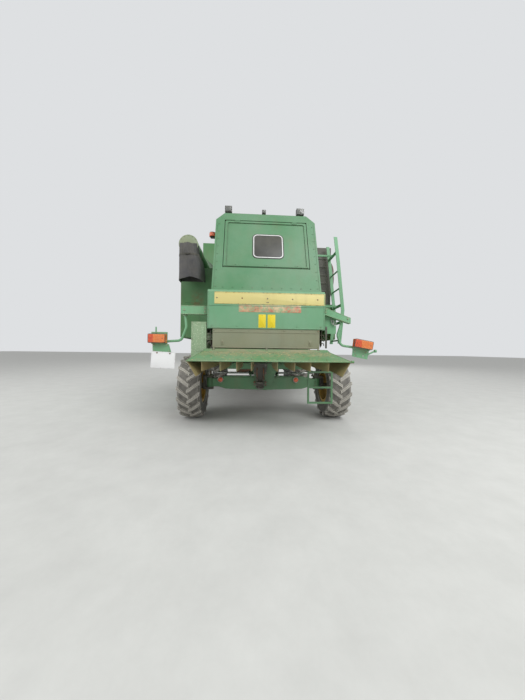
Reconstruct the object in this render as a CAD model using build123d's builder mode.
from build123d import *
import os
from math import atan2, cos, degrees, hypot, radians, sin, tan

# Combine harvester parked without its header. Millimetres, +X to the right when seen
# from behind, +Y forward, +Z up. The ground is z = 0 and the origin is the middle of
# the ground under the machine.

# Driving dimensions
OVERALL_LENGTH = 7000      # header face to the rear edge of the tail board
OVERALL_WIDTH = 3320       # over the two lamp outriggers
WHEELBASE = 3650
REAR_AXLE_Y = -2350
BODY_HALF = 830            # half width of the threshing body and lower hood
BODY_TOP = 1900
BODY_BOTTOM = 960
SHEET = 20                 # thickness of a folded panel
SEAT = 0.3                 # gap between two pieces that rest on each other
RUN = 8                    # running gap round a door or a turning piece
REAR_Y = -OVERALL_LENGTH / 2
FRONT_Y = OVERALL_LENGTH / 2
SIDE_X = OVERALL_WIDTH / 2
FRONT_AXLE_Y = REAR_AXLE_Y + WHEELBASE

# Wheels
FRONT_TYRE_R = 805
FRONT_TYRE_W = 590
FRONT_RIM_R = 330
FRONT_TRACK = 2420
REAR_TYRE_R = 482.5
REAR_TYRE_W = 338
REAR_RIM_R = 229
REAR_TRACK = 2200
RIM_WALL = 14
HUB_R = 120

os.makedirs("parts", exist_ok=True)


def write(piece, label):
    """Label a solid and write it as one STEP file."""
    piece.label = label
    export_step(piece, f"parts/{label}.step")


def finish(builder, label):
    """Write the finished part of a builder."""
    write(builder.part, label)


def prism_x(points, x_from, x_to, mode=Mode.ADD):
    """A side outline of (y, z) points carried from x_from to x_to."""
    with BuildSketch(Plane.YZ.offset(x_from)) as outline:
        with BuildLine():
            Polyline(*points, close=True)
        make_face()
    extrude(outline.sketch, amount=x_to - x_from, mode=mode)


def prism_y(points, y_from, y_to, mode=Mode.ADD):
    """A rear outline of (x, z) points carried from y_from to y_to."""
    with BuildSketch(Plane.XZ.offset(-y_from)) as outline:
        with BuildLine():
            Polyline(*points, close=True)
        make_face()
    extrude(outline.sketch, amount=y_from - y_to, mode=mode)


def prism_z(points, z_from, z_to, mode=Mode.ADD):
    """A plan outline of (x, y) points carried from z_from to z_to."""
    with BuildSketch(Plane.XY.offset(z_from)) as outline:
        with BuildLine():
            Polyline(*points, close=True)
        make_face()
    extrude(outline.sketch, amount=z_to - z_from, mode=mode)


def block(x, y, z, mode=Mode.ADD):
    """A box between three pairs of limits."""
    with Locations(((x[0] + x[1]) / 2, (y[0] + y[1]) / 2, (z[0] + z[1]) / 2)):
        Box(x[1] - x[0], y[1] - y[0], z[1] - z[0], mode=mode)


def rod(start, end, radius, mode=Mode.ADD):
    """A round bar between two points."""
    along = Vector(*end) - Vector(*start)
    with BuildSketch(Plane(origin=start, z_dir=along)) as section:
        Circle(radius)
    extrude(section.sketch, amount=along.length, mode=mode)


def bent_tube(points, bend, radius):
    """A round tube along straight runs joined by arcs of one bend radius."""
    with BuildLine() as path:
        FilletPolyline(*points, radius=bend)
    start = Vector(*points[0])
    with BuildSketch(Plane(origin=start, z_dir=Vector(*points[1]) - start)) as section:
        Circle(radius)
    sweep(section.sketch, path=path.line)


def turned(profile, y, z, mode=Mode.ADD):
    """An (x, radius) outline turned about a crosswise axle at (y, z)."""
    with BuildSketch(Plane.XZ.offset(-y)) as outline:
        with BuildLine():
            Polyline(*[(px, z + r) for px, r in profile], close=True)
        make_face()
    revolve(outline.sketch, axis=Axis((0, y, z), (1, 0, 0)), mode=mode)


# Tyres. Columns: radius, width, rim radius, lugs a side, lug height, lug thickness
TYRES = {
    "front": (FRONT_TYRE_R, FRONT_TYRE_W, FRONT_RIM_R, 20, 40, 58),
    "rear": (REAR_TYRE_R, REAR_TYRE_W, REAR_RIM_R, 18, 27, 34),
}
BEAD_SHARE = 0.36          # bead half width over tyre width
DISH_SHARE = 0.06          # how far the wheel disc stands outward of the tyre's middle
FLANGE = 24
LUG_ANGLE = 38
LUG_INSET = 6
LUG_OVERLAP = 14


def make_tyre(size):
    """A tractor tyre at x = y = 0: a carcass with two staggered rows of slanting lugs."""
    radius, width, rim_r, lugs, lug_height, lug_thick = TYRES[size]
    bead = BEAD_SHARE * width
    carcass = radius - lug_height
    half = [(bead, rim_r + SEAT), (bead, rim_r + FLANGE + SEAT),
            (0.46 * width, rim_r + 2 * FLANGE), (width / 2, (rim_r + carcass) / 2),
            (0.47 * width, carcass - 0.10 * width), (0.40 * width, carcass - 0.03 * width),
            (0.20 * width, carcass)]
    profile = half + [(-px, r) for px, r in reversed(half)]
    low = carcass - 0.16 * width
    edge = width / 2 - LUG_INSET
    ring = [(edge, low), (edge, radius - 0.06 * width), (0.22 * width, radius),
            (-0.22 * width, radius), (-edge, radius - 0.06 * width), (-edge, low)]
    slant = edge * tan(radians(LUG_ANGLE))
    half_t = lug_thick / 2 / cos(radians(LUG_ANGLE))
    with BuildPart() as tread_limit:
        turned(ring, 0, radius)
    lug_row = []
    for side in (-1, 1):
        with BuildPart() as lug:
            with BuildSketch(Plane.XY.offset(2 * radius - 2 * lug_height)) as foot:
                with BuildLine():
                    Polyline((-side * LUG_OVERLAP, -half_t - slant / 2),
                             (side * edge, -half_t + slant / 2),
                             (side * edge, half_t + slant / 2),
                             (-side * LUG_OVERLAP, half_t - slant / 2), close=True)
                make_face()
            extrude(foot.sketch, amount=3 * lug_height)
        shaped = lug.part & tread_limit.part
        axle = Axis((0, 0, radius), (1, 0, 0))
        for turn in range(lugs):
            lug_row.append(shaped.rotate(axle, 360 * (turn + 0.25 * side) / lugs))
    with BuildPart() as whole:
        turned(profile, 0, radius)
        add(lug_row)
    return whole.part


def make_rim(x, y, size, outward):
    """A dished steel wheel with its hub, turned about its axle."""
    radius, width, rim_r = TYRES[size][:3]
    bead = BEAD_SHARE * width
    flange = bead + RIM_WALL
    dish = outward * DISH_SHARE * width
    with BuildPart() as whole:
        turned([(x - flange, rim_r - RIM_WALL), (x - flange, rim_r + FLANGE),
                (x - bead - SEAT, rim_r + FLANGE), (x - bead - SEAT, rim_r),
                (x + bead + SEAT, rim_r), (x + bead + SEAT, rim_r + FLANGE),
                (x + flange, rim_r + FLANGE), (x + flange, rim_r - RIM_WALL)], y, radius)
        turned([(x + dish, HUB_R), (x + dish, HUB_R + 40),
                (x + dish - outward * 45, rim_r - RIM_WALL + 1),
                (x + dish - outward * 65, rim_r - RIM_WALL + 1),
                (x + dish - outward * 22, HUB_R + 40), (x + dish - outward * 22, HUB_R)],
               y, radius)
        hub_in = x + dish - outward * 60
        hub_out = x + dish + outward * 70
        turned([(hub_in, 0), (hub_in, HUB_R), (x + dish + outward * 20, HUB_R),
                (hub_out, HUB_R - 35), (hub_out, 0)], y, radius)
        with BuildSketch(Plane.YZ.offset(x + dish - 120)) as holes:
            with Locations((y, radius)):
                with PolarLocations((HUB_R + rim_r) / 2 + 10, 6, start_angle=30):
                    Circle(0.10 * rim_r)
        extrude(holes.sketch, amount=240, mode=Mode.SUBTRACT)
    return whole


for size, track, axle_y in (("front", FRONT_TRACK, FRONT_AXLE_Y),
                            ("rear", REAR_TRACK, REAR_AXLE_Y)):
    tyre = make_tyre(size)
    for side, hand in (("left", -1), ("right", 1)):
        wheel_x = hand * track / 2
        placed = tyre.moved(Location((wheel_x, axle_y, 0)))
        write(placed, f"tyre_{size}_{side}")
        finish(make_rim(wheel_x, axle_y, size, hand), f"rim_{size}_{side}")

# Axles and steering
BEAM_HALF = BODY_HALF + 5   # half length of the front axle beam
BEAM_DEPTH = 250
FINAL_R = 230              # final drive housing
FINAL_END = 930
SPINDLE_R = 90
KINGPIN_X = 850
KINGPIN_R = 28
REAR_HUB_Z = REAR_TYRE_R
AXLE_EYE = (470, 610)      # height of the beam's end eyes
EYE_R = 62
ARM_TOP = 646
STEER_ARM = 150
TIE_R = 16
TIE_Z = 676
CYLINDER_HALF = 240
PIVOT_R = 45               # pin on which the rear axle rocks


def hub_inner(track, width):
    """Distance from the middle of the machine to the inner end of a wheel hub."""
    return track / 2 + DISH_SHARE * width - 60


with BuildPart() as front_axle:
    beam_top = BODY_BOTTOM - SEAT
    block((-BEAM_HALF, BEAM_HALF), (FRONT_AXLE_Y - 110, FRONT_AXLE_Y + 110),
          (beam_top - BEAM_DEPTH, beam_top))
    block((-190, 230), (FRONT_AXLE_Y - 330, FRONT_AXLE_Y - 105), (640, 900))
    spindle_end = hub_inner(FRONT_TRACK, FRONT_TYRE_W) - SEAT
    for hand in (-1, 1):
        turned([(hand * (BEAM_HALF - 20), 0), (hand * (BEAM_HALF - 20), 100),
                (hand * (BODY_HALF + 2), 100), (hand * BEAM_HALF, FINAL_R), (hand * (FINAL_END - 60), FINAL_R),
                (hand * FINAL_END, FINAL_R - 60), (hand * FINAL_END, SPINDLE_R),
                (hand * spindle_end, SPINDLE_R), (hand * spindle_end, 0)],
               FRONT_AXLE_Y, FRONT_TYRE_R)
finish(front_axle, "front_axle")

# The rear axle: a box beam that is deeper in the middle, with an eye at each end
with BuildPart() as rear_axle:
    outline = [(-KINGPIN_X + 40, 480), (-720, 480), (-600, 445), (0, 425), (600, 445), (720, 480),
               (KINGPIN_X - 40, 480), (KINGPIN_X - 40, 600), (720, 605), (620, 640), (-620, 640),
               (-720, 605), (-KINGPIN_X + 40, 600)]
    prism_y(outline, REAR_AXLE_Y - 75, REAR_AXLE_Y + 75)
    for hand in (-1, 1):
        rod((hand * KINGPIN_X, REAR_AXLE_Y, AXLE_EYE[0]),
            (hand * KINGPIN_X, REAR_AXLE_Y, AXLE_EYE[1]), EYE_R)
        rod((hand * KINGPIN_X, REAR_AXLE_Y, AXLE_EYE[0] - 1),
            (hand * KINGPIN_X, REAR_AXLE_Y, AXLE_EYE[1] + 1), KINGPIN_R + 1, Mode.SUBTRACT)
    for hand in (-1, 1):
        block((hand * 215 - 15, hand * 215 + 15), (REAR_AXLE_Y - 60, REAR_AXLE_Y + STEER_ARM),
              (639, TIE_Z))
    rod((-CYLINDER_HALF, REAR_AXLE_Y + STEER_ARM, TIE_Z),
        (CYLINDER_HALF, REAR_AXLE_Y + STEER_ARM, TIE_Z), 36)
    rod((-CYLINDER_HALF - 1, REAR_AXLE_Y + STEER_ARM, TIE_Z),
        (CYLINDER_HALF + 1, REAR_AXLE_Y + STEER_ARM, TIE_Z), TIE_R + 1, Mode.SUBTRACT)
finish(rear_axle, "rear_axle")

for side, hand in (("left", -1), ("right", 1)):
    with BuildPart() as knuckle:
        web = (min(hand * 925, hand * 957), max(hand * 925, hand * 957))
        inner = (min(hand * KINGPIN_X, hand * 940), max(hand * KINGPIN_X, hand * 940))
        for low, high in ((AXLE_EYE[0] - 40, AXLE_EYE[0] - 6), (AXLE_EYE[1] + 6, ARM_TOP)):
            rod((hand * KINGPIN_X, REAR_AXLE_Y, low), (hand * KINGPIN_X, REAR_AXLE_Y, high), 50)
            block(inner, (REAR_AXLE_Y - 48, REAR_AXLE_Y + 48), (low, high))
        block(web, (REAR_AXLE_Y - 60, REAR_AXLE_Y + 60), (AXLE_EYE[0] - 40, ARM_TOP))
        rod((hand * KINGPIN_X, REAR_AXLE_Y, AXLE_EYE[0] - 40),
            (hand * KINGPIN_X, REAR_AXLE_Y, ARM_TOP), KINGPIN_R)
        block((hand * KINGPIN_X - 30, hand * KINGPIN_X + 30),
              (REAR_AXLE_Y, REAR_AXLE_Y + STEER_ARM), (AXLE_EYE[1] + 10, ARM_TOP))
        rod((hand * KINGPIN_X, REAR_AXLE_Y + STEER_ARM, AXLE_EYE[1] + 10),
            (hand * KINGPIN_X, REAR_AXLE_Y + STEER_ARM, ARM_TOP), 38)
        rod((hand * 940, REAR_AXLE_Y, REAR_HUB_Z),
            (hand * (hub_inner(REAR_TRACK, REAR_TYRE_W) - SEAT), REAR_AXLE_Y, REAR_HUB_Z), 48)
    finish(knuckle, f"knuckle_{side}")

with BuildPart() as tie_rod:
    rod((-KINGPIN_X, REAR_AXLE_Y + STEER_ARM, TIE_Z), (KINGPIN_X, REAR_AXLE_Y + STEER_ARM, TIE_Z),
        TIE_R)
    for hand in (-1, 1):
        rod((hand * KINGPIN_X, REAR_AXLE_Y + STEER_ARM, ARM_TOP + SEAT),
            (hand * KINGPIN_X, REAR_AXLE_Y + STEER_ARM, TIE_Z + 26), 32)
finish(tie_rod, "tie_rod")

# The frame under the threshing body carries the rear axle on a pivot pin
FRAME_X = (610, 700)
FRAME_DEPTH = 110
FRAME_REAR = REAR_AXLE_Y - 150
CROSS_TOP = 850

with BuildPart() as frame:
    for hand in (-1, 1):
        rail = (min(hand * FRAME_X[0], hand * FRAME_X[1]), max(hand * FRAME_X[0], hand * FRAME_X[1]))
        block(rail, (FRAME_REAR, FRONT_AXLE_Y - 115), (BODY_BOTTOM - SEAT - FRAME_DEPTH,
                                                       BODY_BOTTOM - SEAT))
    block((-FRAME_X[1], FRAME_X[1]), (REAR_AXLE_Y - 150, REAR_AXLE_Y + 120), (760, CROSS_TOP + 5))
    for y in (REAR_AXLE_Y - 115, REAR_AXLE_Y + 95):
        prism_y([(-200, 765), (200, 765), (110, 520), (-110, 520)], y + 15, y - 15)
    rod((0, REAR_AXLE_Y - 135, 560), (0, REAR_AXLE_Y + 115, 560), PIVOT_R)
    block((-130, 130), (REAR_AXLE_Y - 75 - SEAT, REAR_AXLE_Y + 75 + SEAT), (400, 700),
          Mode.SUBTRACT)
finish(frame, "frame")

# Threshing body: flat sides, stepped belly, open throat at the front
THROAT_Y = 1500
STEP_Y = 905
CAB_FLOOR_LOW = 1745
BELLY = [(-1900, BODY_TOP), (STEP_Y, BODY_TOP), (STEP_Y, CAB_FLOOR_LOW - 5),
         (THROAT_Y, CAB_FLOOR_LOW - 5), (THROAT_Y, BODY_BOTTOM), (-1900, BODY_BOTTOM)]
FEEDER_HALF = 690
FEEDER_PIVOT = (1562, 1470)
FEEDER_SHAFT_R = 40

with BuildPart() as body_shell:
    prism_x(BELLY, -BODY_HALF, BODY_HALF)
    block((-FEEDER_HALF + 40, FEEDER_HALF - 40), (1180, THROAT_Y + 1), (1060, 1590), Mode.SUBTRACT)
    for hand in (-1, 1):
        lug = (min(hand * 715, hand * 755), max(hand * 715, hand * 755))
        prism_x([(THROAT_Y, 1390), (FEEDER_PIVOT[0] + 45, 1420), (FEEDER_PIVOT[0] + 60, 1470),
                 (FEEDER_PIVOT[0] + 45, 1520), (THROAT_Y, 1550)], lug[0], lug[1])
        rod((lug[0] - 1, *FEEDER_PIVOT), (lug[1] + 1, *FEEDER_PIVOT), FEEDER_SHAFT_R + 1,
            Mode.SUBTRACT)
finish(body_shell, "body_shell")

# Sieve box and fan drum under the body
with BuildPart() as cleaning_shoe:
    block((-600, 600), (-2050, 150), (790, BODY_BOTTOM - SEAT))
    block((-570, 570), (-2051, -1500), (815, 935), Mode.SUBTRACT)
    for step in range(5):
        y = -2030 + 110 * step
        prism_x([(y, 850), (y + 90, 880), (y + 90, 888), (y, 858)], -571, 571)
    turned([(-560, 0), (-560, 260), (560, 260), (560, 0)], 400, 690)
    block((-560, 560), (140, 400), (690, BODY_BOTTOM - SEAT))
    turned([(-561, 0), (-561, 120), (-480, 120), (-480, 0)], 400, 690, Mode.SUBTRACT)
    turned([(561, 0), (561, 120), (480, 120), (480, 0)], 400, 690, Mode.SUBTRACT)
finish(cleaning_shoe, "cleaning_shoe")

# Lower hood behind the body, open below over the chopper
HOOD_REAR = -2860
LOWER_HOOD_Z = 1350
SHOULDER = 34
with BuildPart() as straw_hood:
    prism_x([(HOOD_REAR, LOWER_HOOD_Z), (-1900 - SEAT, LOWER_HOOD_Z), (-1900 - SEAT, BODY_TOP),
             (HOOD_REAR + SHOULDER, BODY_TOP), (HOOD_REAR, BODY_TOP - SHOULDER)],
            -BODY_HALF, BODY_HALF)
    prism_x([(HOOD_REAR + SHEET, LOWER_HOOD_Z - 1), (-1900 - SEAT - SHEET, LOWER_HOOD_Z - 1),
             (-1900 - SEAT - SHEET, BODY_TOP - SHEET),
             (HOOD_REAR + SHEET + SHOULDER, BODY_TOP - SHEET),
             (HOOD_REAR + SHEET, BODY_TOP - SHOULDER - SHEET)],
            -BODY_HALF + SHEET, BODY_HALF - SHEET, Mode.SUBTRACT)
finish(straw_hood, "straw_hood")

# Upper hood over the engine: sloping rear face with a door opening, open below and in front
HOOD_HALF = 785
HOOD_TOP = 3230
HOOD_SLOPE_TOP = -2360
HOOD_FOOT = -2826
HOOD_FRONT = -705
HOOD_CHAMFER = 125
HOOD_SHEET = 25
slope = Vector(0, HOOD_SLOPE_TOP - HOOD_FOOT, HOOD_TOP - BODY_TOP).normalized()
slope_lean = degrees(atan2(HOOD_SLOPE_TOP - HOOD_FOOT, HOOD_TOP - BODY_TOP))
DOOR_HALF = 640
DOOR_DROP = (140, 1020)     # distance down the slope from the roof to the door's two edges
DOOR_THICK = 30
rear_slope = Plane(origin=(0, HOOD_SLOPE_TOP, HOOD_TOP), x_dir=(1, 0, 0),
                   z_dir=(0, -slope.Z, slope.Y))

with BuildPart() as hood_cavity:
    inner_foot = HOOD_FOOT + HOOD_SHEET / cos(radians(slope_lean))
    inner_top = HOOD_SLOPE_TOP + HOOD_SHEET
    prism_x([(inner_foot, BODY_TOP - 1), (inner_top, HOOD_TOP - HOOD_SHEET),
             (HOOD_FRONT + 1, HOOD_TOP - HOOD_SHEET), (HOOD_FRONT + 1, BODY_TOP - 1)],
            -HOOD_HALF + HOOD_SHEET, HOOD_HALF - HOOD_SHEET)
    chamfer(hood_cavity.edges().filter_by(Axis.Y).group_by(Axis.Z)[-1], HOOD_CHAMFER - 10)

with BuildPart() as upper_hood:
    prism_x([(HOOD_FOOT, BODY_TOP + SEAT), (HOOD_SLOPE_TOP, HOOD_TOP), (HOOD_FRONT, HOOD_TOP),
             (HOOD_FRONT, BODY_TOP + SEAT)], -HOOD_HALF, HOOD_HALF)
    chamfer(upper_hood.edges().filter_by(Axis.Y).group_by(Axis.Z)[-1], HOOD_CHAMFER)
    add(hood_cavity.part, mode=Mode.SUBTRACT)
    with BuildSketch(rear_slope) as doorway:
        with Locations((0, -(DOOR_DROP[0] + DOOR_DROP[1]) / 2)):
            Rectangle(2 * (DOOR_HALF + RUN), DOOR_DROP[1] - DOOR_DROP[0] + 2 * RUN)
    extrude(doorway.sketch, amount=120, both=True, mode=Mode.SUBTRACT)
finish(upper_hood, "upper_hood")

DOOR_RECESS = 6
with BuildPart() as service_door:
    with BuildSketch(rear_slope.offset(-DOOR_RECESS)) as panel:
        with Locations((0, -(DOOR_DROP[0] + DOOR_DROP[1]) / 2)):
            RectangleRounded(2 * DOOR_HALF, DOOR_DROP[1] - DOOR_DROP[0], 25)
    extrude(panel.sketch, amount=-DOOR_THICK)
    with BuildSketch(rear_slope.offset(-DOOR_RECESS)) as dish:
        with Locations((0, -(DOOR_DROP[0] + DOOR_DROP[1]) / 2)):
            RectangleRounded(2 * DOOR_HALF - 70, DOOR_DROP[1] - DOOR_DROP[0] - 70, 25)
    extrude(dish.sketch, amount=-10, mode=Mode.SUBTRACT)
    for x in (-450, 450):
        knuckle_end = rear_slope.from_local_coords((x - 40, -DOOR_DROP[0], 0))
        other_end = rear_slope.from_local_coords((x + 40, -DOOR_DROP[0], 0))
        rod((knuckle_end.X, knuckle_end.Y, knuckle_end.Z),
            (other_end.X, other_end.Y, other_end.Z), RUN - SEAT)
        with BuildSketch(rear_slope) as leaf:
            with Locations((x, -DOOR_DROP[0] - 15)):
                Rectangle(80, 30)
        extrude(leaf.sketch, amount=-DOOR_RECESS - 2)
finish(service_door, "service_door")

# Engine on its bearers, seen through the service door
with BuildPart() as engine:
    block((-420, 420), (-2050, -1050), (2050, 2880))
    for y in (-1950, -1200):
        block((-560, 560), (y, y + 90), (BODY_TOP + SEAT, 2060))
finish(engine, "engine")

# Side housings: left one closed behind, right one lower and open behind
LEFT_X = 1430
RIGHT_X = 1300
HOUSING_REAR = -1895
HOUSING_FRONT = 400
HOUSING_LOW = 1260
LEFT_TOP = 2500
RIGHT_TOP = 1900
TANK_HALF = 1050
TANK_REAR = -700
TANK_FRONT = 900
SKIRT = 25

with BuildPart() as side_housings:
    wall_x = -BODY_HALF - SEAT
    for y in (HOUSING_REAR, HOUSING_FRONT - SKIRT):
        block((-LEFT_X, wall_x), (y, y + SKIRT), (HOUSING_LOW, BODY_TOP))
    block((-LEFT_X, -HOOD_HALF - SEAT), (HOUSING_REAR, HOUSING_REAR + SKIRT),
          (BODY_TOP + SEAT, LEFT_TOP))
    block((-LEFT_X, wall_x), (HOUSING_REAR, HOUSING_REAR + SKIRT), (BODY_TOP - 20, BODY_TOP + 20))
    block((-LEFT_X, -TANK_HALF - SEAT), (HOUSING_FRONT - SKIRT, HOUSING_FRONT),
          (BODY_TOP - 20, LEFT_TOP))
    block((-LEFT_X, -HOOD_HALF - SEAT), (HOUSING_REAR, TANK_REAR - 1), (LEFT_TOP - SKIRT, LEFT_TOP))
    block((-LEFT_X, -TANK_HALF - SEAT), (TANK_REAR - 60, HOUSING_FRONT),
          (LEFT_TOP - SKIRT, LEFT_TOP))
    block((BODY_HALF + SEAT, RIGHT_X), (HOUSING_REAR, HOUSING_FRONT),
          (RIGHT_TOP - SKIRT, RIGHT_TOP))
    block((BODY_HALF + SEAT, RIGHT_X), (HOUSING_FRONT - SKIRT, HOUSING_FRONT),
          (HOUSING_LOW, RIGHT_TOP))
    for y in (HOUSING_REAR, -700):
        block((BODY_HALF + SEAT, RIGHT_X), (y, y + 50), (RIGHT_TOP - 80, RIGHT_TOP - SKIRT + 1))
finish(side_housings, "side_housings")

# Shields hung from barrels that lie on the housings' outer top edges
SHIELD_T = 22
BARREL_IN = 30             # hinge line, inward of the housing's side
SHIELD_BARREL_R = 12
LEAF_T = 6
BARREL_HALF = 60
BARREL_SPOTS = (0.14, 0.5, 0.86)


def hinge_line(top, outer, hand):
    """x and z of the line on which a side shield swings."""
    return hand * (outer - BARREL_IN), top + SEAT + SHIELD_BARREL_R


for side, hand, top, outer in (("left", -1, LEFT_TOP, LEFT_X), ("right", 1, RIGHT_TOP, RIGHT_X)):
    with BuildPart() as shield:
        face = hand * (outer + SEAT)
        out = hand * (outer + SEAT + SHIELD_T)
        low = HOUSING_LOW
        prism_x([(HOUSING_REAR, low + 40), (HOUSING_REAR + 40, low), (HOUSING_FRONT - 40, low),
                 (HOUSING_FRONT, low + 40), (HOUSING_FRONT, top), (HOUSING_REAR, top)],
                face, out)
        line_x, line_z = hinge_line(top, outer, hand)
        for share in BARREL_SPOTS:
            y = HOUSING_REAR + share * (HOUSING_FRONT - HOUSING_REAR)
            rod((line_x, y - BARREL_HALF, line_z), (line_x, y + BARREL_HALF, line_z),
                SHIELD_BARREL_R)
            block((min(line_x, out), max(line_x, out)), (y - BARREL_HALF, y + BARREL_HALF),
                  (top + SEAT, top + SEAT + LEAF_T))
            block((min(face, out), max(face, out)), (y - BARREL_HALF, y + BARREL_HALF),
                  (top - 1, top + SEAT + LEAF_T))
    finish(shield, f"shield_{side}")

# Belt drives on both flanks. Columns: hand, layer, first pulley, radius, second pulley, radius
DRIVES = [
    (-1, 0, (-1650, 1500), 190, (-700, 1450), 150),
    (-1, 1, (-700, 1450), 110, (110, 1370), 230),
    (-1, 0, (200, 1700), 120, (-1200, 1750), 90),
    (1, 0, (-1600, 1450), 210, (-600, 1400), 140),
    (1, 1, (-600, 1400), 100, (90, 1500), 240),
]
BELT_W = 36
with BuildPart() as belt_drives:
    for hand, layer, first, r_first, second, r_second in DRIVES:
        base = hand * (BODY_HALF + SEAT)
        near = hand * (BODY_HALF + 35 + layer * (BELT_W + 14))
        far = near + hand * BELT_W
        for (y, z), radius in ((first, r_first), (second, r_second)):
            rod((base, y, z), (far, y, z), 30)
            rod((near, y, z), (far, y, z), radius)
            rod((near + hand * 8, y, z), (far + hand, y, z), radius - 25, Mode.SUBTRACT)
            rod((near, y, z), (far, y, z), 45)
        with BuildSketch(Plane.YZ.offset(near + hand * 6)) as belt:
            with BuildLine():
                CenterArc(first, r_first + 8, 0, 360)
                CenterArc(second, r_second + 8, 0, 360)
            make_hull()
        with BuildSketch(Plane.YZ.offset(near + hand * 6)) as inside:
            with BuildLine():
                CenterArc(first, r_first - 4, 0, 360)
                CenterArc(second, r_second - 4, 0, 360)
            make_hull()
        extrude(belt.sketch - inside.sketch, amount=hand * (BELT_W - 12))
finish(belt_drives, "belt_drives")

# Grain tank with flared top, open above, hopper floor inside
TANK_FLARE = 1300
FLARE_Z = (2930, 3150)
TANK_TOP = 3450
TANK_WALL = 18
HOPPER_Z = 2450
with BuildPart() as grain_tank:
    prism_y([(-TANK_HALF, BODY_TOP + SEAT), (TANK_HALF, BODY_TOP + SEAT), (TANK_HALF, FLARE_Z[0]),
             (TANK_FLARE, FLARE_Z[1]), (TANK_FLARE, TANK_TOP), (-TANK_FLARE, TANK_TOP),
             (-TANK_FLARE, FLARE_Z[1]), (-TANK_HALF, FLARE_Z[0])], TANK_FRONT, TANK_REAR)
    wide = TANK_HALF - TANK_WALL
    flare = TANK_FLARE - TANK_WALL
    prism_y([(-wide, HOPPER_Z), (-230, BODY_TOP + 40), (230, BODY_TOP + 40), (wide, HOPPER_Z),
             (wide, FLARE_Z[0] + 8), (flare, FLARE_Z[1] + 8), (flare, TANK_TOP + 1),
             (-flare, TANK_TOP + 1), (-flare, FLARE_Z[1] + 8), (-wide, FLARE_Z[0] + 8)],
            TANK_FRONT - TANK_WALL, TANK_REAR + TANK_WALL, Mode.SUBTRACT)
finish(grain_tank, "grain_tank")

# Unloading auger: fixed riser, tube that swings about it, rubber spout
AUGER_X = -1240
AUGER_Y = 760
AUGER_Z = 2750
AUGER_R = 148
AUGER_END = -2130
RISER_TOP = 2560
with BuildPart() as auger_riser:
    bent_tube([(-TANK_HALF - SEAT, AUGER_Y, 2060), (AUGER_X, AUGER_Y, 2060),
               (AUGER_X, AUGER_Y, RISER_TOP)], 165, 140)
    rod((AUGER_X, AUGER_Y, RISER_TOP - 40), (AUGER_X, AUGER_Y, RISER_TOP), 165)
finish(auger_riser, "auger_riser")

with BuildPart() as auger_tube:
    rod((AUGER_X, AUGER_Y, RISER_TOP + SEAT), (AUGER_X, AUGER_Y, RISER_TOP + 40), 165)
    bent_tube([(AUGER_X, AUGER_Y, RISER_TOP + 20), (AUGER_X, AUGER_Y, AUGER_Z),
               (AUGER_X, AUGER_END, AUGER_Z)], 160, AUGER_R)
    rod((AUGER_X, AUGER_END - 150, AUGER_Z), (AUGER_X, AUGER_END + 200, AUGER_Z), AUGER_R + 4)
    rod((AUGER_X, AUGER_END, AUGER_Z - 160), (AUGER_X, AUGER_END, AUGER_Z), 150)
finish(auger_tube, "auger_tube")

SPOUT_LOW = 2180
with BuildPart() as spout:
    with BuildSketch(Plane.XY.offset(AUGER_Z - 160 - SEAT)) as neck:
        with Locations((AUGER_X, AUGER_END)):
            RectangleRounded(360, 360, 120)
    with BuildSketch(Plane.XY.offset(SPOUT_LOW)) as mouth:
        with Locations((AUGER_X, AUGER_END - 20)):
            RectangleRounded(400, 380, 60)
    loft(sections=[neck.sketch, mouth.sketch])
    with BuildSketch(Plane.XY.offset(AUGER_Z - 160 - 60)) as neck_in:
        with Locations((AUGER_X, AUGER_END)):
            RectangleRounded(336, 336, 108)
    with BuildSketch(Plane.XY.offset(SPOUT_LOW - 1)) as mouth_in:
        with Locations((AUGER_X, AUGER_END - 20)):
            RectangleRounded(376, 356, 48)
    loft(sections=[neck_in.sketch, mouth_in.sketch], mode=Mode.SUBTRACT)
finish(spout, "spout")

with BuildPart() as auger_cradle:
    cradle_top = AUGER_Z - AUGER_R - SEAT
    block((AUGER_X - 60, -HOOD_HALF - SEAT), (-1560, -1500), (cradle_top - 60, cradle_top))
    prism_y([(-HOOD_HALF - SEAT, cradle_top - 60), (AUGER_X + 40, cradle_top - 59),
             (-HOOD_HALF - SEAT - 60, LEFT_TOP + SEAT), (-HOOD_HALF - SEAT, LEFT_TOP + SEAT)],
            -1540, -1520)
finish(auger_cradle, "auger_cradle")

# Radiator case on the right, with a turning dust screen
RAD_X = (HOOD_HALF + SEAT, 1240)
RAD_Y = (-1850, -950)
RAD_Z = (RIGHT_TOP + SEAT, 2950)
SCREEN_R = 390
SCREEN_YZ = (-1400, 2440)
with BuildPart() as radiator_box:
    block(RAD_X, RAD_Y, RAD_Z)
    rod((RAD_X[1] - 60, *SCREEN_YZ), (RAD_X[1] + 1, *SCREEN_YZ), SCREEN_R + 20, Mode.SUBTRACT)
    rod((RAD_X[1] - 61, *SCREEN_YZ), (RAD_X[1] - 20, *SCREEN_YZ), 30)
finish(radiator_box, "radiator_box")

with BuildPart() as rotary_screen:
    turned([(RAD_X[1] - 20 + SEAT, 0), (RAD_X[1] - 20 + SEAT, SCREEN_R), (RAD_X[1] + 70, SCREEN_R),
            (RAD_X[1] + 82, SCREEN_R - 12), (RAD_X[1] + 82, 0)], *SCREEN_YZ)
finish(rotary_screen, "rotary_screen")

# Cab: floor, four posts, window openings, a doorway on the left
CAB_HALF = 760
CAB_REAR = 950
CAB_FRONT = 2430
CAB_FLOOR_TOP = 1800
CAB_EAVES = 3340
POST = 70
SILL = 2080
DOOR_Y = (1330, 2330)
DOOR_Z = (1830, 3280)
PANE = 8

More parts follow.
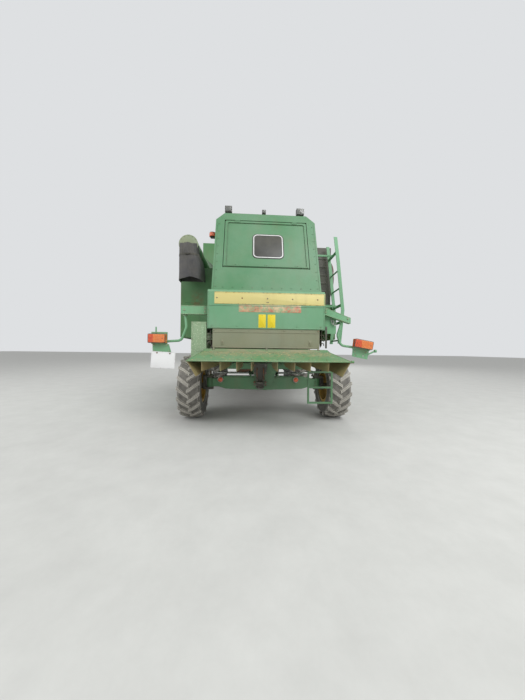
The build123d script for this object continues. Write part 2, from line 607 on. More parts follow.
with BuildPart() as cab_shell:
    prism_x([(CAB_REAR, CAB_FLOOR_LOW), (CAB_FRONT - 120, CAB_FLOOR_LOW), (CAB_FRONT, 1950),
             (CAB_FRONT + 60, SILL), (CAB_FRONT - 60, CAB_EAVES), (CAB_REAR, CAB_EAVES)],
            -CAB_HALF, CAB_HALF)
    prism_x([(CAB_REAR + 40, CAB_FLOOR_TOP), (CAB_FRONT - 145, CAB_FLOOR_TOP),
             (CAB_FRONT - 40, 1950), (CAB_FRONT + 16, SILL), (CAB_FRONT - 102, CAB_EAVES + 1),
             (CAB_REAR + 40, CAB_EAVES + 1)], -CAB_HALF + 40, CAB_HALF - 40, Mode.SUBTRACT)
    prism_y([(-CAB_HALF + POST, 1900), (CAB_HALF - POST, 1900), (CAB_HALF - POST, CAB_EAVES - POST),
             (-CAB_HALF + POST, CAB_EAVES - POST)], CAB_FRONT + 80, CAB_FRONT - 300, Mode.SUBTRACT)
    block((-CAB_HALF + 2 * POST, CAB_HALF - 2 * POST), (CAB_REAR - 1, CAB_REAR + 41),
          (2650, CAB_EAVES - POST), Mode.SUBTRACT)
    block((CAB_HALF - 41, CAB_HALF + 1), (DOOR_Y[0], DOOR_Y[1]), (2000, CAB_EAVES - POST),
          Mode.SUBTRACT)
    block((-CAB_HALF - 1, -CAB_HALF + 41), DOOR_Y, DOOR_Z, Mode.SUBTRACT)
    for x in (-CAB_HALF - 1, CAB_HALF - 41):
        block((x, x + 42), (CAB_REAR + POST, DOOR_Y[0] - POST), (2300, CAB_EAVES - POST),
              Mode.SUBTRACT)
finish(cab_shell, "cab_shell")

with BuildPart() as cab_glass:
    top_y = CAB_FRONT - 95
    prism_x([(CAB_FRONT + 26, SILL), (CAB_FRONT + 34, SILL), (top_y + 12, CAB_EAVES - POST - 2),
             (top_y + 4, CAB_EAVES - POST - 2)], -CAB_HALF + POST + SEAT, CAB_HALF - POST - SEAT)
    block((-CAB_HALF + 2 * POST + SEAT, CAB_HALF - 2 * POST - SEAT),
          (CAB_REAR + 16, CAB_REAR + 16 + PANE), (2650 + SEAT, CAB_EAVES - POST - SEAT))
    block((CAB_HALF - 24, CAB_HALF - 24 + PANE), (DOOR_Y[0] + SEAT, DOOR_Y[1] - SEAT),
          (2000 + SEAT, CAB_EAVES - POST - SEAT))
    for x in (-CAB_HALF + 16, CAB_HALF - 24):
        block((x, x + PANE), (CAB_REAR + POST + SEAT, DOOR_Y[0] - POST - SEAT),
              (2300 + SEAT, CAB_EAVES - POST - SEAT))
finish(cab_glass, "cab_glass")

DOOR_FRAME = 60
DOOR_GAP = 7
with BuildPart() as cab_door:
    block((-CAB_HALF - 4, -CAB_HALF + 30), (DOOR_Y[0] + DOOR_GAP, DOOR_Y[1] - DOOR_GAP),
          (DOOR_Z[0] + DOOR_GAP, DOOR_Z[1] - DOOR_GAP))
    block((-CAB_HALF - 5, -CAB_HALF + 31),
          (DOOR_Y[0] + DOOR_GAP + DOOR_FRAME, DOOR_Y[1] - DOOR_GAP - DOOR_FRAME),
          (2150, DOOR_Z[1] - DOOR_GAP - DOOR_FRAME), Mode.SUBTRACT)
    block((-CAB_HALF - 40, -CAB_HALF - 3), (DOOR_Y[1] - 57, DOOR_Y[1] - 32), (2230, 2400))
    for z in (2000, 3050):
        hinge = (-CAB_HALF - 12, DOOR_Y[0] + DOOR_GAP)
        rod((*hinge, z), (*hinge, z + 80), hypot(12, DOOR_GAP) - SEAT)
finish(cab_door, "cab_door")

with BuildPart() as door_glass:
    block((-CAB_HALF + 8, -CAB_HALF + 8 + PANE),
          (DOOR_Y[0] + DOOR_GAP + DOOR_FRAME + SEAT, DOOR_Y[1] - DOOR_GAP - DOOR_FRAME - SEAT),
          (2150 + SEAT, DOOR_Z[1] - DOOR_GAP - DOOR_FRAME - SEAT))
finish(door_glass, "door_glass")

ROOF_TOP = 3560
with BuildPart() as cab_roof:
    prism_x([(CAB_REAR - 10, CAB_EAVES + SEAT), (CAB_FRONT + 170, CAB_EAVES + SEAT),
             (CAB_FRONT + 190, CAB_EAVES + 60), (CAB_FRONT + 60, ROOF_TOP - 30),
             (CAB_FRONT - 200, ROOF_TOP), (CAB_REAR + 150, ROOF_TOP), (CAB_REAR - 10, ROOF_TOP - 60)],
            -CAB_HALF - 40, CAB_HALF + 40)
    chamfer(cab_roof.edges().group_by(Axis.Z)[-1].filter_by(Axis.Y), 60)
    for x in (-640, -380, 380, 640):
        turned_y = CAB_FRONT + 150
        rod((x, turned_y, CAB_EAVES + 90), (x, turned_y + 110, CAB_EAVES + 75), 70)
finish(cab_roof, "cab_roof")

SEAT_Y = 1350
with BuildPart() as seat:
    block((-200, 200), (SEAT_Y - 170, SEAT_Y + 170), (CAB_FLOOR_TOP + SEAT, 2130))
    block((-250, 250), (SEAT_Y - 250, SEAT_Y + 260), (2130, 2260))
    prism_x([(SEAT_Y - 250, 2200), (SEAT_Y - 150, 2200), (SEAT_Y - 190, 2800),
             (SEAT_Y - 270, 2800)], -235, 235)
    for x in (-310, 255):
        block((x, x + 55), (SEAT_Y - 200, SEAT_Y + 180), (2380, 2430))
        block((x + 15, x + 40), (SEAT_Y - 210, SEAT_Y - 170), (2180, 2400))
    block((-310, 310), (SEAT_Y - 210, SEAT_Y - 170), (2180, 2220))
finish(seat, "seat")

with BuildPart() as controls:
    prism_x([(1990, CAB_FLOOR_TOP + SEAT), (2130, CAB_FLOOR_TOP + SEAT), (2060, 2480),
             (1990, 2480)], -70, 70)
    wheel_plane = Plane(origin=(0, 1960, 2530), x_dir=(1, 0, 0), z_dir=(0, -0.42, 0.91))
    with BuildSketch(wheel_plane) as wheel_ring:
        Circle(205)
        Circle(178, mode=Mode.SUBTRACT)
        Rectangle(380, 34)
        Rectangle(34, 190, align=(Align.CENTER, Align.MAX))
        Circle(45)
    extrude(wheel_ring.sketch, amount=24)
    rod((0, 2030, 2400), (0, 1958, 2536), 28)
    block((360, 640), (1250, 1850), (CAB_FLOOR_TOP + SEAT, 2330))
    rod((470, 1700, 2300), (455, 1740, 2520), 14)
    rod((455, 1740, 2510), (452, 1748, 2570), 26)
finish(controls, "controls")

# Platform beside the cab, with rails and the climbing ladder in front of the wheel
PLATFORM_X = (-1500, -BODY_HALF - SEAT)
PLATFORM_Y = (930, 2600)
PLATFORM_Z = (1690, CAB_FLOOR_LOW)
RAIL_R = 17
RAIL_TOP = 2750
with BuildPart() as platform:
    block(PLATFORM_X, PLATFORM_Y, PLATFORM_Z)
    block((PLATFORM_X[1] - 1, -700), (THROAT_Y + 10, PLATFORM_Y[1]),
          (PLATFORM_Z[0], PLATFORM_Z[1] - SEAT))
    for rail_y, rail_end in ((PLATFORM_Y[0] + 40, -880), (PLATFORM_Y[1] - 20, -830)):
        bent_tube([(-1460, rail_y, PLATFORM_Z[1] - 5), (-1460, rail_y, RAIL_TOP),
                   (rail_end, rail_y, RAIL_TOP), (rail_end, rail_y, PLATFORM_Z[1] - 5)], 90, RAIL_R)
        rod((-1460, rail_y, 2250), (rail_end, rail_y, 2250), RAIL_R - 3)
finish(platform, "platform")

STILES_Y = (2140, 2560)
LADDER_FOOT = (-1560, 480)
LADDER_HEAD = (-1490, PLATFORM_Z[0] - SEAT)
RUNGS = 5
with BuildPart() as cab_ladder:
    for y in STILES_Y:
        prism_y([LADDER_FOOT, (LADDER_FOOT[0] + 70, LADDER_FOOT[1]),
                 (LADDER_HEAD[0] + 70, LADDER_HEAD[1]), LADDER_HEAD], y + 8, y - 8)
    for step in range(RUNGS):
        share = (step + 0.12) / RUNGS
        x = LADDER_FOOT[0] + share * (LADDER_HEAD[0] - LADDER_FOOT[0])
        z = LADDER_FOOT[1] + share * (LADDER_HEAD[1] - LADDER_FOOT[1])
        block((x - 30, x + 120), STILES_Y, (z, z + 30))
finish(cab_ladder, "cab_ladder")

# Feeder house on its cross shaft, open from the header face to the body's throat
FEEDER_SHEET = 20
FACE_Z = (600, 1150)
BEND_Y = FRONT_Y - 1000    # where the underside turns towards the body
NOSE_Y = FRONT_Y - 200     # where the slope ends behind the header face
UNDER = [(1604, 1030), (BEND_Y, 775), (NOSE_Y, 615), (FRONT_Y, FACE_Z[0])]
OVER = [(FRONT_Y, FACE_Z[1]), (NOSE_Y, 1195), (1562, 1600), (1514, FEEDER_PIVOT[1])]
LIFT_X = 520
LIFT_EYE = (FRONT_Y - 850, 645)
LIFT_BASE = (FRONT_AXLE_Y + 150, 600)
with BuildPart() as feeder_house:
    prism_x(UNDER + OVER, -FEEDER_HALF, FEEDER_HALF)
    inner = [(1500, 1030 + 56), (1604, 1030 + 26), (BEND_Y, 775 + 26), (NOSE_Y, 640), (FRONT_Y + 1, 620),
             (FRONT_Y + 1, 1130), (NOSE_Y, 1170), (1562, 1575), (1480, 1575)]
    prism_x(inner, -FEEDER_HALF + FEEDER_SHEET, FEEDER_HALF - FEEDER_SHEET, Mode.SUBTRACT)
    rod((-775, *FEEDER_PIVOT), (775, *FEEDER_PIVOT), FEEDER_SHAFT_R)
    block((-FEEDER_HALF - 40, -FEEDER_HALF + FEEDER_SHEET), (FRONT_Y - 30, FRONT_Y),
          (FACE_Z[0], FACE_Z[1]))
    block((FEEDER_HALF - FEEDER_SHEET, FEEDER_HALF + 40), (FRONT_Y - 30, FRONT_Y),
          (FACE_Z[0], FACE_Z[1]))
    for hand in (-1, 1):
        for side in (-1, 1):
            cheek = hand * LIFT_X + side * 38
            prism_x([(LIFT_EYE[0] - 90, 760), (LIFT_EYE[0] - 35, 600), (LIFT_EYE[0] + 35, 600),
                     (LIFT_EYE[0] + 90, 745)], cheek - 7, cheek + 7)
finish(feeder_house, "feeder_house")

DRUM = (FRONT_Y - 190, 890)
DRUM_R = 100
SPROCKET_R = 58
CHAIN_T = 12
STRANDS = (-480, 0, 480)
SLATS = 9
with BuildPart() as feeder_chain:
    for x in STRANDS:
        with BuildSketch(Plane.YZ.offset(x - 14)) as outer_loop:
            with BuildLine():
                CenterArc(DRUM, DRUM_R + CHAIN_T, 0, 360)
                CenterArc(FEEDER_PIVOT, SPROCKET_R + CHAIN_T, 0, 360)
            make_hull()
        with BuildSketch(Plane.YZ.offset(x - 14)) as inner_loop:
            with BuildLine():
                CenterArc(DRUM, DRUM_R, 0, 360)
                CenterArc(FEEDER_PIVOT, SPROCKET_R, 0, 360)
            make_hull()
        extrude(outer_loop.sketch - inner_loop.sketch, amount=28)
        rod((x - 14, *FEEDER_PIVOT), (x + 14, *FEEDER_PIVOT), SPROCKET_R)
        rod((x - 14, *FEEDER_PIVOT), (x + 14, *FEEDER_PIVOT), FEEDER_SHAFT_R + SEAT, Mode.SUBTRACT)
    rod((-600, *DRUM), (600, *DRUM), DRUM_R)
    rod((-FEEDER_HALF + FEEDER_SHEET + SEAT, *DRUM), (FEEDER_HALF - FEEDER_SHEET - SEAT, *DRUM), 30)
    run = Vector(0, DRUM[0] - FEEDER_PIVOT[0], DRUM[1] - FEEDER_PIVOT[1])
    across = Vector(0, -run.Z, run.Y).normalized()
    for step in range(SLATS):
        share = (step + 0.8) / (SLATS + 0.5)
        reach = SPROCKET_R + share * (DRUM_R - SPROCKET_R) + CHAIN_T
        for side in (-1, 1):
            spot = Vector(0, *FEEDER_PIVOT) + run * share + across * (side * (reach + 10))
            slat_plane = Plane(origin=spot, x_dir=(1, 0, 0), z_dir=across)
            with BuildSketch(slat_plane) as slat:
                Rectangle(1180, 30)
            extrude(slat.sketch, amount=14, both=True)
finish(feeder_chain, "feeder_chain")

# Lift cylinders under the feeder: barrels on the axle, rods with open eyes between cheeks
LIFT_RUN = Vector(0, LIFT_EYE[0] - LIFT_BASE[0], LIFT_EYE[1] - LIFT_BASE[1])
LIFT_LENGTH = LIFT_RUN.length
LIFT_WAY = LIFT_RUN.normalized()
BARREL_R = 48
BARREL_LENGTH = LIFT_LENGTH - 271
GLAND_LENGTH = 50
PISTON_ROD_R = 27
PISTON_AT = 420            # inner end of the piston, from the base pin
PISTON_LENGTH = 40
EYE_HOLE_R = 21


def on_lift(x, distance):
    """A point on the line of a lift cylinder, measured from its base pin."""
    spot = Vector(x, *LIFT_BASE) + LIFT_WAY * distance
    return (spot.X, spot.Y, spot.Z)


with BuildPart() as lift_barrels:
    for x in (-LIFT_X, LIFT_X):
        rod((x - 50, *LIFT_BASE), (x + 50, *LIFT_BASE), 42)
        rod(on_lift(x, 30), on_lift(x, BARREL_LENGTH), BARREL_R)
        rod(on_lift(x, BARREL_LENGTH - GLAND_LENGTH), on_lift(x, BARREL_LENGTH), BARREL_R + 7)
        rod(on_lift(x, 120), on_lift(x, BARREL_LENGTH + 1), PISTON_ROD_R + 2, Mode.SUBTRACT)
        rod((x - 51, *LIFT_BASE), (x + 51, *LIFT_BASE), EYE_HOLE_R, Mode.SUBTRACT)
finish(lift_barrels, "lift_barrels")

with BuildPart() as lift_rods:
    for x in (-LIFT_X, LIFT_X):
        rod(on_lift(x, PISTON_AT), on_lift(x, LIFT_LENGTH), PISTON_ROD_R)
        rod(on_lift(x, PISTON_AT), on_lift(x, PISTON_AT + PISTON_LENGTH), PISTON_ROD_R + 2 - SEAT)
        rod((x - 28, *LIFT_EYE), (x + 28, *LIFT_EYE), 40)
finish(lift_rods, "lift_rods")

with BuildPart() as lift_brackets:
    for x in (-LIFT_X, LIFT_X):
        for side in (-1, 1):
            cheek = x + side * 62
            prism_x([(FRONT_AXLE_Y - 60, BODY_BOTTOM - SEAT - BEAM_DEPTH - SEAT),
                     (FRONT_AXLE_Y + 105, BODY_BOTTOM - SEAT - BEAM_DEPTH - SEAT),
                     (LIFT_BASE[0] + 45, 640), (LIFT_BASE[0] + 45, 560), (LIFT_BASE[0] - 40, 555)],
                    cheek - 9, cheek + 9)
        rod((x - 72, *LIFT_BASE), (x + 72, *LIFT_BASE), EYE_HOLE_R - 1)
finish(lift_brackets, "lift_brackets")

# Straw chopper under the lower hood
CHOP_HALF = 755
CHOP_PLATE = 12            # rear and front plates
CHOP_WALL = 14             # side walls
CHOP_Y = (-2855, -2300)
CHOP_Z = (1080, LOWER_HOOD_Z - SEAT)
ROTOR_YZ = (-2575, 1225)
ROTOR_R = 75
ROTOR_SHAFT_R = 32
PULLEY_R = 95
PULLEY_W = 36
KNIFE_R = 138
TAIL_HINGE = (-2868, 1066)
TAIL_PIN = (TAIL_HINGE[0], TAIL_HINGE[1] - 5)
TAIL_PIN_R = 7
TAIL_LUGS = (-735, 0, 735)
with BuildPart() as chopper_housing:
    block((-CHOP_HALF, CHOP_HALF), (CHOP_Y[0], CHOP_Y[0] + CHOP_PLATE), CHOP_Z)
    back = CHOP_Y[1] - CHOP_PLATE
    prism_x([(CHOP_Y[1], CHOP_Z[1]), (CHOP_Y[1], CHOP_Z[1] - 100), (CHOP_Y[1] - 90, CHOP_Z[0]),
             (back - 90, CHOP_Z[0]), (back, CHOP_Z[1] - 97), (back, CHOP_Z[1])],
            -CHOP_HALF, CHOP_HALF)
    for x in (-CHOP_HALF, CHOP_HALF - CHOP_WALL):
        prism_x([(CHOP_Y[0], CHOP_Z[1]), (CHOP_Y[1], CHOP_Z[1]), (CHOP_Y[1], CHOP_Z[1] - 100),
                 (CHOP_Y[1] - 90, CHOP_Z[0]), (CHOP_Y[0], CHOP_Z[0])], x, x + CHOP_WALL)
        rod((x - 1, *ROTOR_YZ), (x + CHOP_WALL + 1, *ROTOR_YZ), ROTOR_SHAFT_R + 1, Mode.SUBTRACT)
    for x in TAIL_LUGS:
        rod((x - 10, *TAIL_PIN), (x + 10, *TAIL_PIN), TAIL_PIN_R + 6)
        block((x - 10, x + 10), (TAIL_PIN[0], CHOP_Y[0] + 1), (TAIL_PIN[1] + 2, CHOP_Z[0] + 20))
        rod((x - 11, *TAIL_PIN), (x + 11, *TAIL_PIN), TAIL_PIN_R + SEAT, Mode.SUBTRACT)
finish(chopper_housing, "chopper_housing")

KNIVES = 14
with BuildPart() as chopper_rotor:
    rod((-CHOP_HALF + 30, *ROTOR_YZ), (CHOP_HALF - 30, *ROTOR_YZ), ROTOR_R)
    rod((-CHOP_HALF - 60, *ROTOR_YZ), (CHOP_HALF + 60, *ROTOR_YZ), ROTOR_SHAFT_R)
    for x in (-CHOP_HALF - PULLEY_W - 14, CHOP_HALF + 14):
        rod((x, *ROTOR_YZ), (x + PULLEY_W, *ROTOR_YZ), PULLEY_R)
    pitch = 2 * (CHOP_HALF - 60) / KNIVES
    for spot in range(KNIVES):
        x = -CHOP_HALF + 60 + pitch * (spot + 0.5)
        for turn in (0, 180) if spot % 2 else (90, 270):
            way = Vector(0, cos(radians(turn)), sin(radians(turn)))
            start = Vector(x, *ROTOR_YZ) + way * (ROTOR_R - 4)
            with BuildSketch(Plane(origin=start, x_dir=(1, 0, 0), z_dir=way)) as knife:
                Rectangle(6, 44)
            extrude(knife.sketch, amount=KNIFE_R - ROTOR_R)
finish(chopper_rotor, "chopper_rotor")

# Tail board: a folded sheet hinged at its front edge, with curved fins under it
TAIL_FOLD = (-2950, 1030)
TAIL_REAR_Z = 930
TAIL_HALF = (862, 957)     # half width at the hinge and at the rear edge
TAIL_T = 10
FIN_T = 7
FIN_START = 12             # first point of a fin, measured from the fold
FIN_BULGE = 18
FIN_LOW = (858, 800)       # height of the fins' lower edge at the fold and at the rear
CHEEK_LOW = (862, 752)     # the same for the two outer cheeks
CHEEK_IN = (155, 100)      # how far the cheeks lean inward at front and rear
CHEEK_T = 9
tail_run = Vector(0, REAR_Y - TAIL_FOLD[0], TAIL_REAR_Z - TAIL_FOLD[1])
TAIL_LENGTH = tail_run.length
tail_up = Vector(0, tail_run.Z, -tail_run.Y).normalized()
# The fins and cheeks start inside the sheet, whose thickness square to it falls with its slope
FIN_ROOT = min(TAIL_T - 1, TAIL_T * abs(tail_run.Y) / TAIL_LENGTH - 0.5)
board = Plane(origin=(0, *TAIL_FOLD), x_dir=(-1, 0, 0), z_dir=tail_up)
# Columns: x at the rear edge, x at the fold
FINS = [(-784, -640), (-574, -484), (-385, -325), (-217, -182), (89, 76), (291, 246), (479, 408),
        (695, 585)]
with BuildPart() as tail_board:
    prism_x([(TAIL_HINGE[0], TAIL_HINGE[1]), TAIL_FOLD, (REAR_Y, TAIL_REAR_Z),
             (REAR_Y, TAIL_REAR_Z - TAIL_T), (TAIL_FOLD[0], TAIL_FOLD[1] - TAIL_T),
             (TAIL_HINGE[0], TAIL_HINGE[1] - TAIL_T)], -TAIL_HALF[1], TAIL_HALF[1])
    for hand in (-1, 1):
        prism_z([(hand * TAIL_HALF[0], TAIL_HINGE[0] + 5), (hand * TAIL_HALF[1], REAR_Y),
                 (hand * (TAIL_HALF[1] + 5), REAR_Y), (hand * (TAIL_HALF[1] + 5), TAIL_HINGE[0] + 5)],
                TAIL_REAR_Z - 50, TAIL_HINGE[1] + 50, Mode.SUBTRACT)
    with BuildSketch(board.offset(-FIN_ROOT)) as fins:
        for rear_x, front_x in FINS:
            with BuildLine():
                middle_x = (rear_x + front_x) / 2
                bulge = FIN_BULGE if rear_x > 0 else -FIN_BULGE
                near = ThreePointArc((-front_x, FIN_START), (-middle_x + bulge, TAIL_LENGTH / 2),
                                     (-rear_x, TAIL_LENGTH - 20))
                far = ThreePointArc((-front_x + FIN_T, FIN_START),
                                    (-middle_x + bulge + FIN_T, TAIL_LENGTH / 2),
                                    (-rear_x + FIN_T, TAIL_LENGTH - 20))
                Line(near @ 0, far @ 0)
                Line(near @ 1, far @ 1)
            make_face()
    extrude(fins.sketch, amount=FIN_LOW[1] - TAIL_FOLD[1])
    prism_x([(TAIL_FOLD[0] + 60, FIN_LOW[0]), (REAR_Y - 60, FIN_LOW[1]), (REAR_Y - 60, 500),
             (TAIL_FOLD[0] + 60, 500)], -TAIL_HALF[1], TAIL_HALF[1], Mode.SUBTRACT)
    for hand in (-1, 1):
        ends = []
        spans = zip((FIN_START, TAIL_LENGTH - FIN_START), (870, TAIL_HALF[1] - 6), CHEEK_IN, CHEEK_LOW)
        for along, top_x, lean_in, low in spans:
            upper = board.from_local_coords((hand * -top_x, along, -FIN_ROOT))
            inner_x = hand * (top_x - lean_in)
            with BuildSketch(Plane.XZ.offset(-upper.Y)) as cut:
                with BuildLine():
                    Polyline((upper.X, upper.Z), (upper.X - hand * CHEEK_T, upper.Z),
                             (inner_x - hand * CHEEK_T, low), (inner_x, low), close=True)
                make_face()
            ends.append(cut.sketch)
        loft(sections=ends)
    for x in TAIL_LUGS:
        with BuildSketch(Plane.XY.offset(TAIL_HINGE[1] + 10)) as notch:
            with Locations((x, TAIL_HINGE[0])):
                Rectangle(36, 60)
        extrude(notch.sketch, amount=-40, mode=Mode.SUBTRACT)
    rod((-BODY_HALF, *TAIL_PIN), (BODY_HALF, *TAIL_PIN), TAIL_PIN_R)
    stub = board.from_local_coords((-TAIL_HALF[1], TAIL_LENGTH - 20, -6))
    rod((TAIL_HALF[1] - 2, stub.Y, stub.Z), (TAIL_HALF[1] + 30, stub.Y, stub.Z), 16)
finish(tail_board, "tail_board")

# Guard over the chopper belt, left of the hood
GUARD_X = (-1048, -842)
GUARD_REAR = HOOD_REAR + 6
GUARD_TOP = 1440
with BuildPart() as belt_guard:
    prism_x([(GUARD_REAR, 930), (GUARD_REAR + 60, 930), (GUARD_REAR + 155, 985),
             (GUARD_REAR + 415, 985), (GUARD_REAR + 415, GUARD_TOP - 30),
             (GUARD_REAR + 385, GUARD_TOP), (GUARD_REAR, GUARD_TOP)],
            *GUARD_X)
    block((GUARD_X[1] - 1, -CHOP_HALF - SEAT), (HOOD_REAR + 60, HOOD_REAR + 95), (1190, 1290))
finish(belt_guard, "belt_guard")

# Lamp outriggers on the flanks of the lower hood, different left and right
RIG_Y = -2720
RIG_DEPTH = 45
TUBE_Y = RIG_Y + 12
TUBE_R = 18
LAMP_Z = (1140, 1266)
with BuildPart() as outriggers:
    block((-SIDE_X + 444, -BODY_HALF - SEAT), (RIG_Y - RIG_DEPTH, RIG_Y + RIG_DEPTH), (1555, 1675))
    bent_tube([(-SIDE_X + 492, TUBE_Y, 1560), (-SIDE_X + 510, TUBE_Y, 1370),
               (-SIDE_X + 440, TUBE_Y, 1180), (-SIDE_X + 240, TUBE_Y, 1165)], 80, TUBE_R)
    block((-SIDE_X + 25, -SIDE_X + 247), (RIG_Y - 8, RIG_Y + 8), (1125, 1297))
    prism_y([(-SIDE_X + 40, 1126), (-SIDE_X + 270, 1126), (-SIDE_X + 305, 995),
             (-SIDE_X + 45, 990)], RIG_Y + 5, RIG_Y - 3)
    rod((-SIDE_X + 90, RIG_Y - 7, 1280), (-SIDE_X + 90, RIG_Y - 7, 1369), 10)
    prism_y([(BODY_HALF + SEAT, 1590), (SIDE_X - 415, 1460), (SIDE_X - 415, 1545),
             (BODY_HALF + SEAT, 1700)], RIG_Y + RIG_DEPTH, RIG_Y - RIG_DEPTH)
    prism_y([(880, 1311), (1046, 1311), (1046, 1560), (880, 1610)], RIG_Y + 20, RIG_Y + 12)
    bent_tube([(SIDE_X - 522, TUBE_Y, 1510), (SIDE_X - 590, TUBE_Y, 1290),
               (SIDE_X - 540, TUBE_Y, 1140), (SIDE_X - 325, TUBE_Y, 1110)], 80, TUBE_R)
    prism_y([(SIDE_X - 365, 1085), (SIDE_X - 95, 1065), (SIDE_X - 80, 1195),
             (SIDE_X - 350, 1240)], RIG_Y + 8, RIG_Y - 8)
    prism_y([(SIDE_X - 361, 1090), (SIDE_X - 110, 1070), (SIDE_X - 137, 933),
             (SIDE_X - 369, 978)], RIG_Y + 5, RIG_Y - 3)
    rod((SIDE_X - 199, RIG_Y + 6, 985), (SIDE_X - 199, RIG_Y - 4, 985), 12, Mode.SUBTRACT)
    rod((SIDE_X - 125, RIG_Y, 1010), (SIDE_X - 20, RIG_Y, 1060), 12)
    rod((SIDE_X - 28, RIG_Y, 1060), (SIDE_X, RIG_Y, 1060), 22)
finish(outriggers, "outriggers")

AXLE_LAMP_Z = 590
with BuildPart() as rear_lamps:
    block((-SIDE_X, -SIDE_X + 244), (RIG_Y - 75, RIG_Y - 8 - SEAT), LAMP_Z)
    tilt = Plane(origin=(SIDE_X - 226, RIG_Y - 8 - SEAT, 1158), x_dir=(0.985, 0, -0.173),
                 z_dir=(0, -1, 0))
    with BuildSketch(tilt) as lamp_face:
        Rectangle(275, 116)
    extrude(lamp_face.sketch, amount=67)
    for x in (-684, 500):
        rod((x, REAR_AXLE_Y - 75 - SEAT, AXLE_LAMP_Z), (x, REAR_AXLE_Y - 100, AXLE_LAMP_Z), 40)
finish(rear_lamps, "rear_lamps")

with BuildPart() as number_plate:
    prism_y([(-SIDE_X + 18, 790), (-SIDE_X + 352, 772), (-SIDE_X + 364, 1005),
             (-SIDE_X + 30, 1023)], RIG_Y - 3 - SEAT, RIG_Y - 6)
finish(number_plate, "number_plate")

# Small lamps along the upper hood's rear edge and one beside it
# Columns: x, half width, height
ROOF_LAMPS = [(-600, 55, 95), (-30, 30, 55), (560, 60, 100)]
with BuildPart() as hood_lamps:
    roof_z = HOOD_TOP + SEAT
    for x, lamp_half, lamp_high in ROOF_LAMPS:
        block((x - 12, x + 12), (HOOD_SLOPE_TOP + 30, HOOD_SLOPE_TOP + 60), (roof_z, roof_z + 40))
        block((x - lamp_half, x + lamp_half), (HOOD_SLOPE_TOP + 5, HOOD_SLOPE_TOP + 85),
              (roof_z + 30, roof_z + 30 + lamp_high))
    block((-900, -HOOD_HALF - SEAT), (-2200, -2170), (2900, 2925))
    rod((-870, -2185, 2920), (-870, -2185, 2990), 48)
finish(hood_lamps, "hood_lamps")

# Drawbar coupling on the frame's cross member, left of the middle
HITCH_X = -70
HITCH_Z = 520
HITCH_PIN_R = 16
JAW_T = 20
with BuildPart() as tow_hitch:
    hitch_y = FRAME_REAR - SEAT
    prism_y([(HITCH_X - 110, 850), (HITCH_X + 110, 850), (HITCH_X + 110, 770),
             (HITCH_X + 62, 640), (HITCH_X + 62, HITCH_Z - 54), (HITCH_X - 62, HITCH_Z - 54),
             (HITCH_X - 62, 640), (HITCH_X - 110, 770)], hitch_y, hitch_y - 20)
    for x in (-50, 38):
        prism_x([(hitch_y - 19, 700), (hitch_y - 19, HITCH_Z + 45), (hitch_y - 78, HITCH_Z + 45)],
                HITCH_X + x, HITCH_X + x + 12)
    for z in (HITCH_Z - 50, HITCH_Z + 50 - JAW_T):
        with BuildSketch(Plane.XY.offset(z)) as jaw:
            with BuildLine():
                Line((HITCH_X - 62, hitch_y - 15), (HITCH_X + 62, hitch_y - 15))
                Line((HITCH_X + 62, hitch_y - 15), (HITCH_X + 46, hitch_y - 90))
                ThreePointArc((HITCH_X + 46, hitch_y - 90), (HITCH_X, hitch_y - 136),
                              (HITCH_X - 46, hitch_y - 90))
                Line((HITCH_X - 46, hitch_y - 90), (HITCH_X - 62, hitch_y - 15))
            make_face()
            with Locations((HITCH_X, hitch_y - 90)):
                Circle(HITCH_PIN_R, mode=Mode.SUBTRACT)
        extrude(jaw.sketch, amount=JAW_T)
finish(tow_hitch, "tow_hitch")

# Hanging step behind the right wheel, carried by one long arm
STEP_X = (545, 890)
STEP_Y = REAR_Y + 470
STEP_Z = (341, 780)
STEP_BAR = 12              # half thickness of its bars
with BuildPart() as rear_step:
    arm_x = FRAME_X[0] + 15
    rod((arm_x, FRAME_REAR - SEAT, 768), (arm_x, STEP_Y - STEP_BAR, 768), STEP_BAR)
    for x in (STEP_X[0], STEP_X[1] - 2 * STEP_BAR):
        block((x, x + 2 * STEP_BAR), (STEP_Y - STEP_BAR, STEP_Y + STEP_BAR), STEP_Z)
    for z in (STEP_Z[0], 548, STEP_Z[1] - 2 * STEP_BAR):
        block(STEP_X, (STEP_Y - STEP_BAR, STEP_Y + STEP_BAR), (z, z + 2 * STEP_BAR))
finish(rear_step, "rear_step")

# Ladder up the right flank behind the radiator: flat stiles that follow the hood's bulge
# Columns: x, z of a stile's bends
STILE_BENDS = [(1239, 1177), (1290, 1727), (1204, 2524), (1153, 2930)]
SIDE_LADDER_Y = (-2330, -1935)
STILE_HALF = 28
STILE_T = 10
SIDE_RUNGS = 6
RUNG_RISE = 290


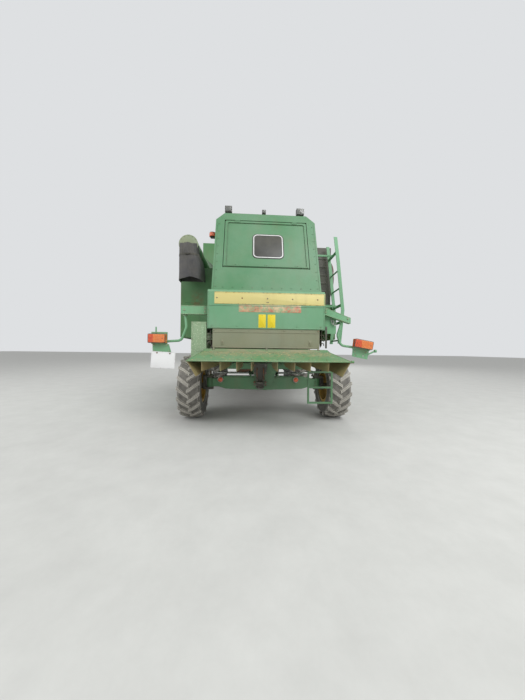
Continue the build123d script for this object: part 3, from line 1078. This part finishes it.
def stile_x(z):
    """x of the right ladder's stiles at a height."""
    for (x_low, z_low), (x_high, z_high) in zip(STILE_BENDS, STILE_BENDS[1:]):
        if z <= z_high:
            return x_low + (x_high - x_low) * (z - z_low) / (z_high - z_low)
    return STILE_BENDS[-1][0]


with BuildPart() as side_ladder:
    edge = [(x - STILE_HALF, z) for x, z in STILE_BENDS]
    edge += [(x + STILE_HALF, z) for x, z in reversed(STILE_BENDS)]
    for y in SIDE_LADDER_Y:
        prism_y(edge, y, y - STILE_T)
    for step in range(SIDE_RUNGS):
        z = 1230 + RUNG_RISE * step
        rod((stile_x(z), SIDE_LADDER_Y[0] - 5, z), (stile_x(z), SIDE_LADDER_Y[1] - 5, z), 13)
    for z, wall_x in ((1520, BODY_HALF), (1810, BODY_HALF), (2680, HOOD_HALF)):
        x = stile_x(z)
        block((wall_x + SEAT, x), (-2140, -2110), (z, z + 30))
        block((x - 15, x + 15), (SIDE_LADDER_Y[0] - 5, SIDE_LADDER_Y[1] - 5), (z, z + 30))
finish(side_ladder, "side_ladder")

# Columns: x, y, radius, lower end, upper end
STACKS = [
    (430, -1500, 75, HOOD_TOP + SEAT, 3470),
    (430, -1500, 45, 3460, 3560),
    (-300, -1300, 60, HOOD_TOP + SEAT, 3350),
    (-300, -1300, 110, 3350, 3470),
]
with BuildPart() as exhaust:
    for x, y, radius, low, high in STACKS:
        rod((x, y, low), (x, y, high), radius)
finish(exhaust, "exhaust")

MIRROR_X = 1150
MIRROR_HALF = 95
MIRROR_ARM_Z = 3400
with BuildPart() as mirrors:
    arm_y = CAB_FRONT + 60
    for hand in (-1, 1):
        arm_x = hand * (CAB_HALF + 40 + SEAT)
        x = hand * MIRROR_X
        rod((arm_x, arm_y, MIRROR_ARM_Z), (x + hand * 10, arm_y, MIRROR_ARM_Z), 12)
        rod((x, arm_y, MIRROR_ARM_Z + 5), (x, arm_y, MIRROR_ARM_Z - 450), 12)
        block((x - MIRROR_HALF, x + MIRROR_HALF), (arm_y + 10, arm_y + 35),
              (MIRROR_ARM_Z - 480, MIRROR_ARM_Z - 110))
finish(mirrors, "mirrors")
